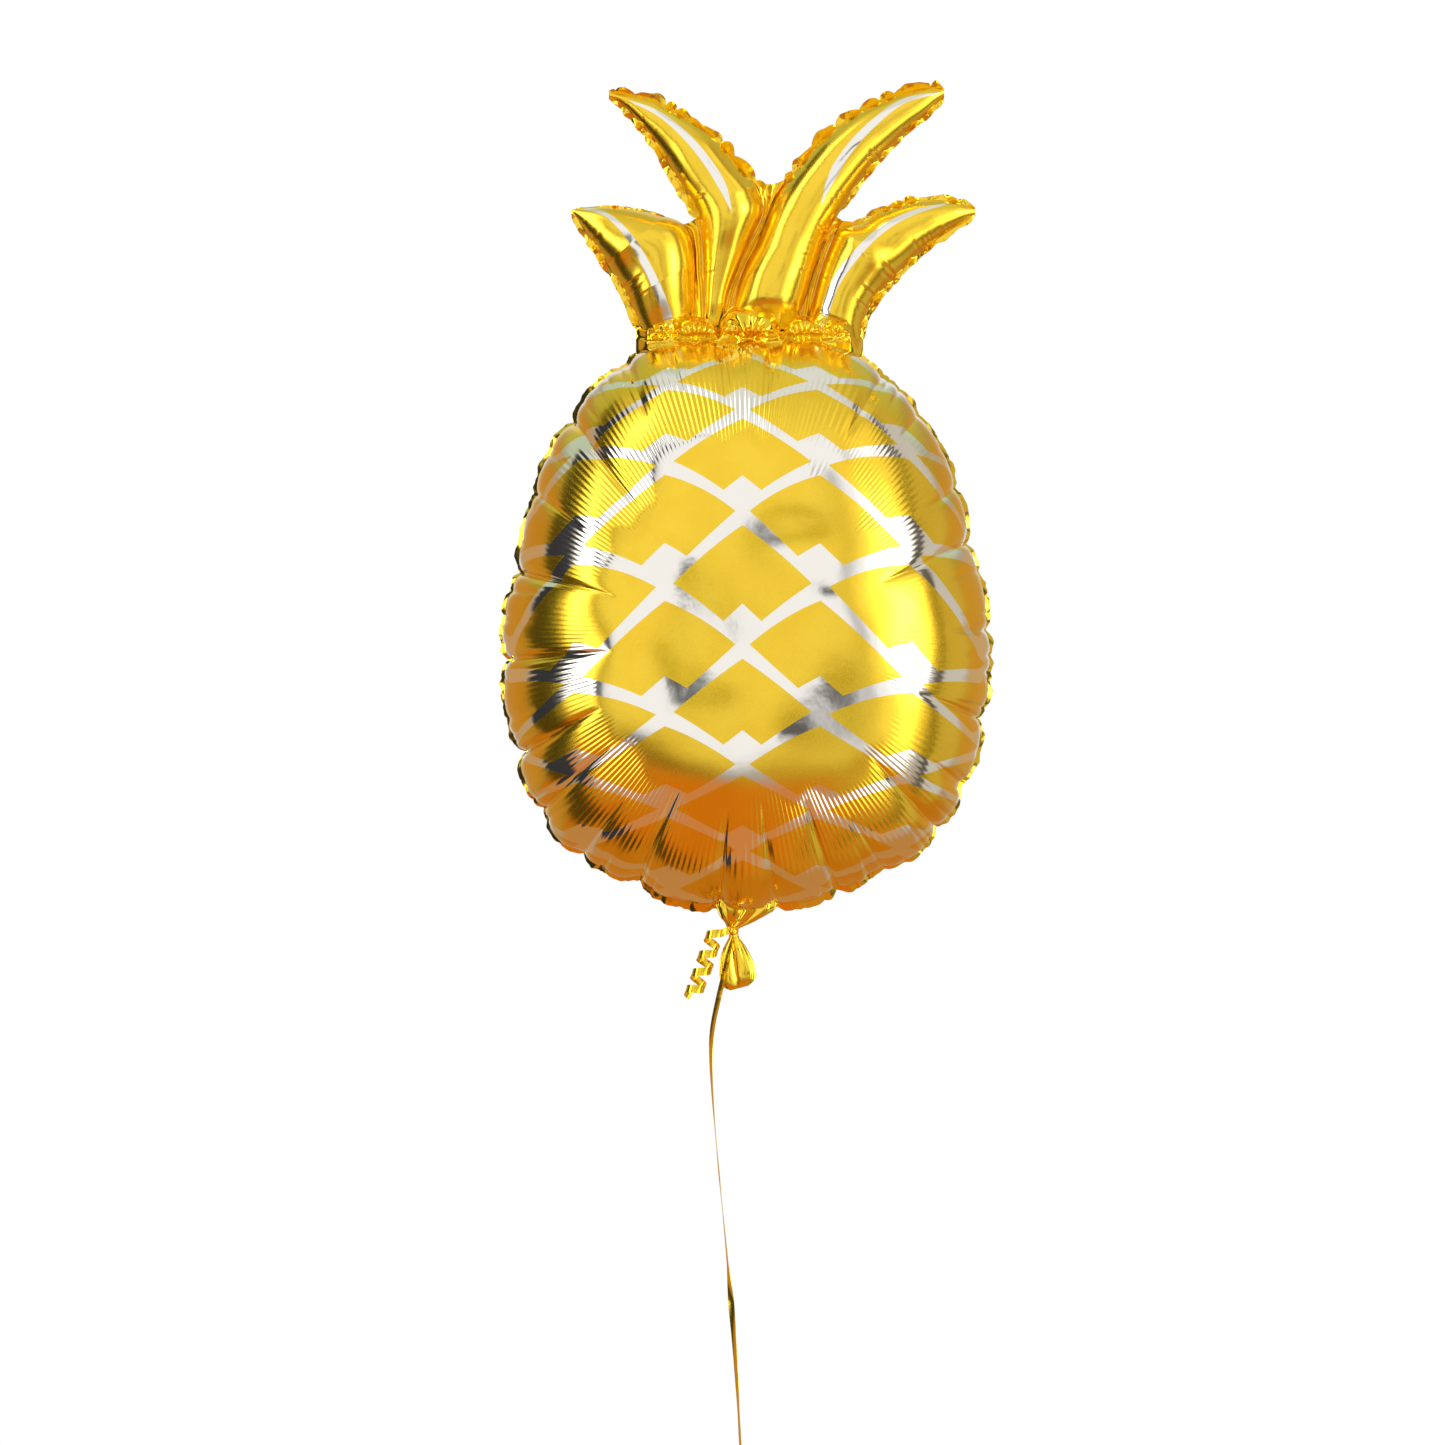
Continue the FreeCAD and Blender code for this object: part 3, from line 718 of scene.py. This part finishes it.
def middle_dents(x, z, rho, front, seed):
    """The shallow dents and swells in the flat middle. The rear's dents are mirrored."""
    flat = 1 - step(0.60, 0.85, rho)
    total = 0.9 * lumps(x, z, 48, seed) * (1 - step(0.8, 1.0, rho))
    for place, level, wide, tall, deep in DENTS:
        side = place if front else 2 * BODY_CENTRE[0] - place
        dent = np.exp(-(((x - side) / wide) ** 2) - ((z - level) / tall) ** 2)
        total = total - deep * flat * dent
    return total


def body_panel(name, node, front):
    """One foil of the body: the inflated shape, then everything that moves its surface."""
    line, out, angle, reach = around_body()
    radius, depth, along = mylar_profile()
    rho = np.interp(np.linspace(0, along[-1], BODY_ROWS + 1), along, radius)
    height = np.interp(rho, radius, depth) / depth[0]
    slope = rho**2 / np.sqrt(np.maximum(1 - rho**4, 1e-9))
    rho, height, slope = rho[:, None], height[:, None], slope[:, None]

    # The outline's corners fade away towards the middle.
    offset = line - np.array(BODY_CENTRE)
    reach_out = np.hypot(offset[:, 0], offset[:, 1])
    calm = rounded(reach_out[:-1], 46)
    calm = np.append(calm, calm[0]) / reach_out
    scale = rho * (calm + (1 - calm) * step(0.55, 1.0, rho))
    x = BODY_CENTRE[0] + scale * offset[:, 0]
    z = BODY_CENTRE[1] + scale * offset[:, 1]
    y = BODY_DEPTH * height

    seed = 40 if front else 60
    barrel = wander(angle, 19, 33, 360) * step(0.5, 0.7, rho) * (1 - step(0.85, 1.0, rho))
    shift = 1.6 * barrel - rim_fold(angle, rho)
    shift = shift + ripples(angle, rho, reach, seed)
    shift = shift + middle_dents(x, z, rho, front, seed + 4)

    # Where the crown opens into the body, the two foils stay apart.
    crown = step(122, 45, np.abs(x - BODY_CENTRE[0])) * step(470, 585, z)
    y = np.hypot(y, 15 * crown * step(0.75, 1.0, rho))
    tilt = np.arctan(slope)
    x = x + shift * np.sin(tilt) * out[:, 0]
    z = z + shift * np.sin(tilt) * out[:, 1]
    y = y + shift * np.cos(tilt)
    points = np.stack([x, -y if front else y, z], -1)

    # The print was laid on the flat sheet, so it follows the length along the curve.
    spare = np.interp(rho, radius, along) - rho
    print_x = scale * offset[:, 0] * (1 + 0.55 * spare) + BODY_CENTRE[0] - LATTICE_MIDDLE
    print_z = BODY_CENTRE[1] + scale * offset[:, 1] * (1 + 0.15 * spare)
    maps = {"print": lattice_place(print_x, print_z)}
    return surface(name, points, PRINTED, "envelope", node, maps)


def lattice_place(x, z):
    """Where a point is in the printed lattice, whose bars cross at whole numbers. The diamonds
    grow wider to the sides, and their rows droop there."""
    across = (np.sqrt(68**2 + 32 * np.abs(x)) - 68) / 16 * np.sign(x)
    droop = 38 * step(80, 280, z)
    level = z + droop * np.clip(np.abs(x) / 169, 0, 1.5) ** 2
    count = LATTICE_FIRST_LEVEL + np.arange(len(LATTICE_LEVELS))
    fine = smooth_line(np.stack([LATTICE_LEVELS, count * 100.0], 1), 400)
    up = np.interp(level, fine[:, 0], fine[:, 1] / 100)
    return np.stack([up + across / 2, up - across / 2], -1)


def body_flange():
    """The flat welded border that stands out round the body, wavy and scalloped."""
    line, out, angle, reach = around_body()
    turn = reach[-1]
    fold = rim_fold(angle, np.ones_like(angle))
    low = step(140, 176, angle) * (1 - step(184, 220, angle))
    width = 4.6 + 5.0 * low + 1.5 * wander(reach, 11, 71, turn) + 0.8 * wander(reach, 4, 75, turn)
    crown = (np.abs(line[:, 0] - BODY_CENTRE[0]) < 100) & (line[:, 1] > 400)
    width = np.where(crown, 2.0, width)
    lift = 2.2 * wander(reach, 17, 72, turn) + 0.6 * wander(reach, 6, 73, turn)
    rows = []
    for share in np.linspace(0, 1, 8):
        edge = -fold + share * width - 1.2
        y = share * (0.7 * width + lift)
        y = y + 0.7 * facets(reach, share * width, 6.0, 74) * share
        rows.append(np.stack([line[:, 0] + edge * out[:, 0], y, line[:, 1] + edge * out[:, 1]], 1))
    return gold_foil("body_border", np.stack(rows))


def gold_foil(name, points):
    """A plain gold piece of the welded border."""
    return surface(name, points, BORDER, "envelope", "seam_border")


# ================================================================ leaves
# Each leaf's left and right edges from the base to the tip, the middle of its pale stripe, the
# side that its folds are on (-1 is the left) and its random seed.
LEAVES = {
    "outer_left": dict(
        left=[(-83, 585), (-97, 610), (-113, 645), (-143, 690), (-161, 720)],
        right=[
            (-41, 595), (-38, 630), (-39, 680), (-50, 706), (-83, 717), (-123, 723), (-161, 720),
        ],
        stripe=[
            (-158, 722), (-130, 716), (-108, 697), (-91, 671), (-76, 641), (-65, 611), (-58, 575),
        ],
        folds=-1,
        seed=101,
    ),
    "inner_left": dict(
        left=[(-28, 600), (-31, 682), (-37, 717), (-55, 747), (-75, 782), (-108, 823), (-124, 832)],
        right=[
            (-11, 597), (-5, 635), (13, 679), (30, 717), (26, 739), (19, 750), (1, 770),
            (-17, 791), (-40, 808), (-67, 823), (-84, 831), (-124, 838),
        ],
        stripe=[(-104, 829), (-74, 815), (-48, 793), (-27, 768), (-10, 740), (2, 706)],
        folds=-1,
        seed=102,
    ),
    "inner_right": dict(
        left=[
            (-5, 600), (7, 652), (24.5, 688), (39, 723), (51, 744), (66, 764), (89, 791),
            (119, 814), (151, 830), (186, 841), (211, 842),
        ],
        right=[
            (63, 600), (83, 664), (95, 697), (110, 723), (124, 744), (145, 770), (171.5, 796.5),
            (195, 817), (211, 834),
        ],
        stripe=[(208, 837), (171, 828), (141, 806), (115, 778), (98, 750), (84, 712)],
        folds=1,
        seed=103,
    ),
    "outer_right": dict(
        left=[
            (72, 600), (86, 655), (98, 688), (107, 702), (130, 708), (151, 720), (183, 729),
            (218, 729), (242, 722),
        ],
        right=[(127, 582), (130, 605), (139, 626), (160, 650), (189, 679), (218, 700), (242, 716)],
        stripe=[
            (222, 728), (180, 716), (149, 699), (124, 675), (102, 645), (90, 611), (84, 575),
        ],
        folds=1,
        seed=104,
    ),
}
LEAF_ROWS = 300
LEAF_COLUMNS = 72
LEAF_DEPTH = 33
LEFT, RIGHT = 0, 1
# The welded borders along the leaves: piece name, leaf, edge, the point on the edge where it
# starts, which way is outward, width, random seed, how deep its scallops are, and its lean back.
BORDERS = [
    ("border_outer_left", "outer_left", LEFT, 0, -1, 6, 401, 0.15, 0.0),
    ("border_outer_left_top", "outer_left", RIGHT, 170, 1, 3, 405, 0.2, 0.0),
    ("border_inner_left", "inner_left", LEFT, 120, -1, 7, 411, 0.2, 0.0),
    ("border_inner_left_top", "inner_left", RIGHT, 120, 1, 8, 415, 0.6, 0.7),
    ("border_inner_right_top", "inner_right", LEFT, 130, -1, 8, 421, 0.6, 0.7),
    ("border_inner_right", "inner_right", RIGHT, 130, 1, 5, 425, 0.3, 0.0),
    ("border_outer_right_top", "outer_right", LEFT, 120, -1, 6, 431, 0.5, 0.4),
    ("border_outer_right", "outer_right", RIGHT, 0, 1, 6, 435, 0.2, 0.0),
]
# The flat foil between neighbouring leaves: left leaf, right leaf and the height of its top.
WEBS = [
    ("outer_left", "inner_left", 713),
    ("inner_left", "inner_right", 753),
    ("inner_right", "outer_right", 713),
]
WEB_BOTTOM = 601
WEB_ROWS = 120


def leaf_edges(leaf):
    """The two edges of a leaf, as lines with equally many points."""
    return smooth_line(leaf["left"], LEAF_ROWS), smooth_line(leaf["right"], LEAF_ROWS)


def leaf_folds(leaf, across, reach, half, seed):
    """How deep the folds press into a leaf: long ones on one side and short ones on the other."""
    random = np.random.default_rng(seed)
    grow = half / 22
    total = np.zeros(np.broadcast(across, reach).shape)
    for place in np.sort(random.uniform(0.12, 0.93, 11)):
        lean = random.uniform(-5, 5)
        size = random.uniform(1.2, 2.2)
        deep = random.uniform(0.5, 1.3)
        length = random.uniform(0.35, 0.8)
        toward = leaf["folds"] * across
        gap = (reach - place * reach[-1] - lean * (1 - toward)) / size
        shape = np.exp(-(gap**2)) - 0.6 * np.exp(-((gap - 1.9) ** 2))
        total += deep * shape * step(1 - length, 1.0, toward) * grow
    for place in np.sort(random.uniform(0.05, 0.95, 7)):
        gap = (reach - place * reach[-1]) / 1.8
        toward = -leaf["folds"] * across
        total += 0.6 * np.exp(-(gap**2)) * step(0.62, 1.0, toward) * grow
    total += 0.45 * lumps(reach, across * half, 21, leaf["seed"]) * (1 - across**2)
    return total


def stripe_place(stripe, x, z):
    """How far each point is from the stripe's middle line, as a share of its half width there."""
    line = smooth_line(stripe, 160)
    run = lengths_along(line) / lengths_along(line)[-1]
    wide = 4.4 * np.sin(math.pi * np.clip(run * 0.62, 0, 1)) ** 0.6
    ends_on_leaf = stripe[-1][1] > 600
    if ends_on_leaf:
        wide = wide * step(1.0, 0.72, run)
    wide = wide + 0.05
    gaps = np.hypot(x[..., None] - line[:, 0], z[..., None] - line[:, 1])
    nearest = np.argmin(gaps, axis=2)
    return np.take_along_axis(gaps, nearest[..., None], 2)[..., 0] / wide[nearest]


def leaf_panel(key, front):
    """One foil of a leaf: a rounded back between its two edges, with folds pressed into it."""
    leaf = LEAVES[key]
    left, right = leaf_edges(leaf)
    along = np.linspace(0, 1, LEAF_ROWS)[:, None]
    across = np.sin(np.linspace(-math.pi / 2, math.pi / 2, LEAF_COLUMNS))[None, :]
    half = np.linalg.norm(right - left, axis=1)[:, None] / 2
    middle, side = (left + right) / 2, (right - left) / 2
    x = middle[:, :1] + side[:, :1] * across
    z = middle[:, 1:] + side[:, 1:] * across
    reach = lengths_along(middle)[:, None]

    depth = np.minimum(0.86 * half, LEAF_DEPTH)
    depth = depth * (1 - 0.50 * step(0.11, 0.0, along))
    y = depth * np.maximum(1 - np.abs(across) ** 2.1, 0) ** 0.66
    folds = leaf_folds(leaf, across, reach, half, leaf["seed"] + (0 if front else 50))
    y = np.maximum(y - folds * np.sqrt(np.clip(1 - across**2, 0, 1)) * 1.3, 0.02)
    points = np.stack([x, -y if front else y, z], -1)

    away = stripe_place(leaf["stripe"], x, z)
    maps = {"print": np.stack(np.broadcast_arrays(away, along), -1)}
    face = "front" if front else "rear"
    node = f"leaf_{key}_foil_{face}"
    return surface(f"leaf_{key}_{face}", points, STRIPED, "envelope", node, maps)


def border_strip(name, leaf, side, start, out_sign, width, seed, scallops, lean):
    """A wavy welded border on the outer side of a leaf's edge, from one of its points up."""
    edge = leaf_edges(LEAVES[leaf])[side][start:]
    ahead = np.gradient(edge, axis=0)
    ahead /= np.linalg.norm(ahead, axis=1, keepdims=True)
    out = np.stack([ahead[:, 1], -ahead[:, 0]], 1) * out_sign
    reach = lengths_along(edge)
    ends = step(0, 14, reach) * step(-6, 10, reach[-1] - reach)
    bay = reach / 25 + 0.65 * wander(reach, 30, seed + 1)
    scallop = 1 - scallops * (1 - np.abs(np.sin(math.pi * bay)) ** 0.7)
    spread = width * ends * scallop * (1 + 0.22 * wander(reach, 9, seed))
    lift = 3.2 * wander(reach, 13, seed + 2) + 0.4 * wander(reach, 5, seed + 3)
    rows = []
    for share in np.linspace(0, 1, 10):
        y = share * (lift + 2.0 * np.sin(2 * math.pi * bay) - lean * spread)
        y = y + share * (facets(reach, share * width, 7, seed) - 0.5)
        move = share * spread - 1.0
        rows.append(np.stack([edge[:, 0] + move * out[:, 0], y, edge[:, 1] + move * out[:, 1]], 1))
    return gold_foil(name, np.stack(rows))


def by_height(edge, low, high):
    """The rising part of an edge between two heights, sampled evenly by height."""
    levels = np.linspace(low, high, WEB_ROWS)
    rising = edge[: int(np.argmax(edge[:, 1] > high)) + 1]
    return np.stack([np.interp(levels, rising[:, 1], rising[:, 0]), levels], 1)


def web(name, left_leaf, right_leaf, top, seed):
    """The flat crumpled foil between two neighbouring leaves, notched at its top."""
    first = by_height(leaf_edges(LEAVES[left_leaf])[RIGHT], WEB_BOTTOM, top)
    second = by_height(leaf_edges(LEAVES[right_leaf])[LEFT], WEB_BOTTOM, top)
    across = np.linspace(0, 1, 16)[None, :]
    up = np.linspace(0, 1, WEB_ROWS)[:, None]
    grid = first[:, None, :] * (1 - across[..., None]) + second[:, None, :] * across[..., None]
    x = grid[..., 0]
    z = grid[..., 1] - 7 * np.sin(math.pi * across) * up**9
    y = 2.2 * np.sin(2 * math.pi * (1.5 * across + 0.4 * wander(z, 22, seed)))
    y = y + 2.6 * (facets(2.0 * x, z, 22, seed) - 0.6)
    return gold_foil(name, np.stack([x, y, z], -1))


def crown_pucker(name, front):
    """The gathered foil where the crown joins the body: a crumpled band with arched tops, and
    a fan of pleats behind each arch."""
    across = np.linspace(-97, 130, 460)[None, :]
    share = np.linspace(0, 1, 60)[:, None]
    arch = 0 * across
    for middle, half, tall in CROWN_ARCHES:
        arch = arch + tall * np.sqrt(np.clip(1 - ((across - middle) / half) ** 2, 0, 1))
    top = CROWN_TOP + arch + 1.2 * wander(across, 8, 201)
    z = CROWN_BOTTOM + (top - CROWN_BOTTOM) * share
    fan = 0 * z
    for middle, half, tall in CROWN_ARCHES:
        far = ((across - middle) / half) ** 2 + ((z - 596) / (tall + 6)) ** 2
        dome = np.sqrt(np.clip(1 - far, 0, 1)) * step(588, 598, z)
        angle = np.arctan2(across - middle, z - 584)
        fan = fan + dome * (0.62 * tall + 4 + 2.4 * np.cos(angle * 10 + middle))
    ends = step(-99, -84, across) * step(132, 116, across)
    belly = (10 + 7 * np.sin(math.pi * share**0.8)) * ends
    crease_away = z - CROWN_CREASE - 2 * wander(across, 12, 205)
    crease = 7.0 * np.exp(-((crease_away / 3.0) ** 2))
    rough = 6.5 * (facets(across, 1.3 * z, 21, 203 if front else 213) - 0.6)
    y = belly + rough * ends * np.sin(math.pi * np.clip(share, 0.04, 0.96)) + fan - crease * ends
    y = np.maximum(y * (1 - 0.6 * step(0.85, 1.0, share)), 0) + 1.0
    x = np.broadcast_to(across, z.shape)
    return gold_foil(name, np.stack([x, -y if front else y, z], -1))


# ================================================================ neck, tie and tail
def neck():
    """The foil gathered into pleats from the body's lower edge down through the tie."""
    around = np.linspace(0, 2 * math.pi, 241)[None, :]
    down = np.linspace(0, 1, 70)[:, None]
    z = NECK_TOP - NECK_LENGTH * down
    flare = step(0, 26, z) ** 0.6
    wide = 4.1 + 22 * flare
    deep = 4.1 + 8 * flare
    pleat = np.cos(9 * around + 0.9 * np.sin(2 * around)) + 0.5 * np.cos(17 * around + 1.0)
    share = 1 + (0.07 + 0.07 * flare) * pleat
    lean = 6.5 * step(0, 10, z) + 6 * step(8, 22, z)
    x = lean + wide * share * np.cos(around)
    points = np.stack([x, deep * share * np.sin(around), z + 0 * around], -1)
    return surface("neck_pleats", points, BORDER, "envelope", "neck_gather")


def tie():
    """The ribbon's turns round the neck."""
    turns, height = 3, 6.0
    angle = np.linspace(0, 2 * math.pi * turns, 220)
    z = np.linspace(height / 2 - 1.1, -height / 2 + 1.1, 220)
    radius = 5.2 + 0.18 * np.cos(5 * angle)
    line = np.stack([radius * np.cos(angle), radius * np.sin(angle), z], 1)
    across = np.broadcast_to((0.0, 0.0, 1.0), line.shape).copy()
    grid, maps = strip_grid(line, across, 2.3, thick=0.5)
    return ribbon_piece("ribbon_turns", grid, maps, "envelope", "ribbon_wrap")


def knot():
    """The ribbon's knot at the front of the tie: a folded band pulled into a small ball."""
    centre = np.array((0.0, -9.5, -0.5))
    around = np.linspace(0, 2 * math.pi, 73)[None, :]
    down = np.linspace(0, math.pi, 41)[:, None]
    folds = 1 - 0.09 * np.abs(np.cos(2 * around + 3 * down)) - 0.03 * np.cos(9 * around + 2 * down)
    x = 4.6 * folds * np.sin(down) ** 0.9 * np.cos(around)
    y = 4.5 * folds * np.sin(down) ** 0.7 * np.sin(around)
    z = 4.75 * np.cos(down) + 0 * around
    maps = np.stack(np.broadcast_arrays(around / 6, down / 3), -1)
    points = np.stack([x, y, z], -1) + centre
    return ribbon_piece("knot_fold", points, maps, "envelope", "ribbon_knot")


def tail_bulb(name, nodes):
    """The filling tail: gathered foil that opens into two puffed lobes and ends folded flat."""
    around = np.linspace(0, 2 * math.pi, 361)[None, :]
    down = np.linspace(0, 1, 150)[:, None]
    wide = smooth_line([(place, half) for place, half, _ in TAIL_PROFILE], 200)
    wide = np.interp(down, wide[:, 0], wide[:, 1])
    deep = smooth_line([(place, half) for place, _, half in TAIL_PROFILE], 200)
    deep = np.interp(down, deep[:, 0], deep[:, 1])
    middle = 0.6 + 6.0 * down
    cos, sin = np.cos(around), np.sin(around)
    front = np.exp(-(((around - math.radians(256)) / 0.24) ** 2))
    back = np.exp(-(((around - math.radians(80)) / 0.24) ** 2))
    cleft = (front + 0.8 * back) * step(0.02, 0.22, down) * (1 - 0.5 * step(0.8, 1, down))
    pleat = np.zeros_like(down * around)
    for count, size, lean in ((5, 0.07, 0.7), (11, 0.03, -0.9)):
        fold = np.cos(count * around + 1.2 * np.sin(around + count) + lean * down)
        pleat += size * (0.5 - np.abs(fold) ** 1.5)
    share = 1 - 0.62 * cleft + pleat * (1 - 0.4 * step(0.4, 0.8, down))
    x = middle + wide * share * cos
    y = deep * share * sin
    z = TAIL_TOP - TAIL_LENGTH * down + 0.26 * (x - middle) * step(0.5, 1.0, down)
    closed = np.stack([x, y, z], -1)
    last = closed[-1].copy()
    last[:, 1] = 0
    return surface(
        name, np.concatenate([closed, last[None]]), BORDER, "tail", nodes
    )


# ================================================================ build
bpy.context.scene.view_settings.view_transform = "Standard"
make_camera()

PRINTED = foil("printed_body_foil", 0.10, lattice_mask)
STRIPED = foil("striped_leaf_foil", 0.16, stripe_mask)
BORDER = foil("plain_gold_foil", 0.14)
RIBBON = ribbon_finish("curling_ribbon")

tether, tether_line = make_tether()
loop_knot, hand_loop = make_loop_knot(), make_hand_loop()
make_curl()

body_panel("body_front", "body_foil_front", True)
body_panel("body_rear", "body_foil_rear", False)
body_flange()
for key in LEAVES:
    leaf_panel(key, True)
    leaf_panel(key, False)

for border in BORDERS:
    border_strip(*border)
for index, (left_leaf, right_leaf, top) in enumerate(WEBS):
    web(f"web_{index + 1}", left_leaf, right_leaf, top, 500 + index)
crown_pucker("crown_gather_front", True)
crown_pucker("crown_gather_rear", False)

neck()
tie()
knot()
tail_bulb("tail_foil", ["tail_root", "tail_foil_front", "tail_foil_rear"])

for node in ("valve_film_front", "valve_film_rear"):
    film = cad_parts[node]
    film.data.materials.clear()
    film.data.materials.append(valve_finish(f"{node}_finish"))

make_world()
make_floor()
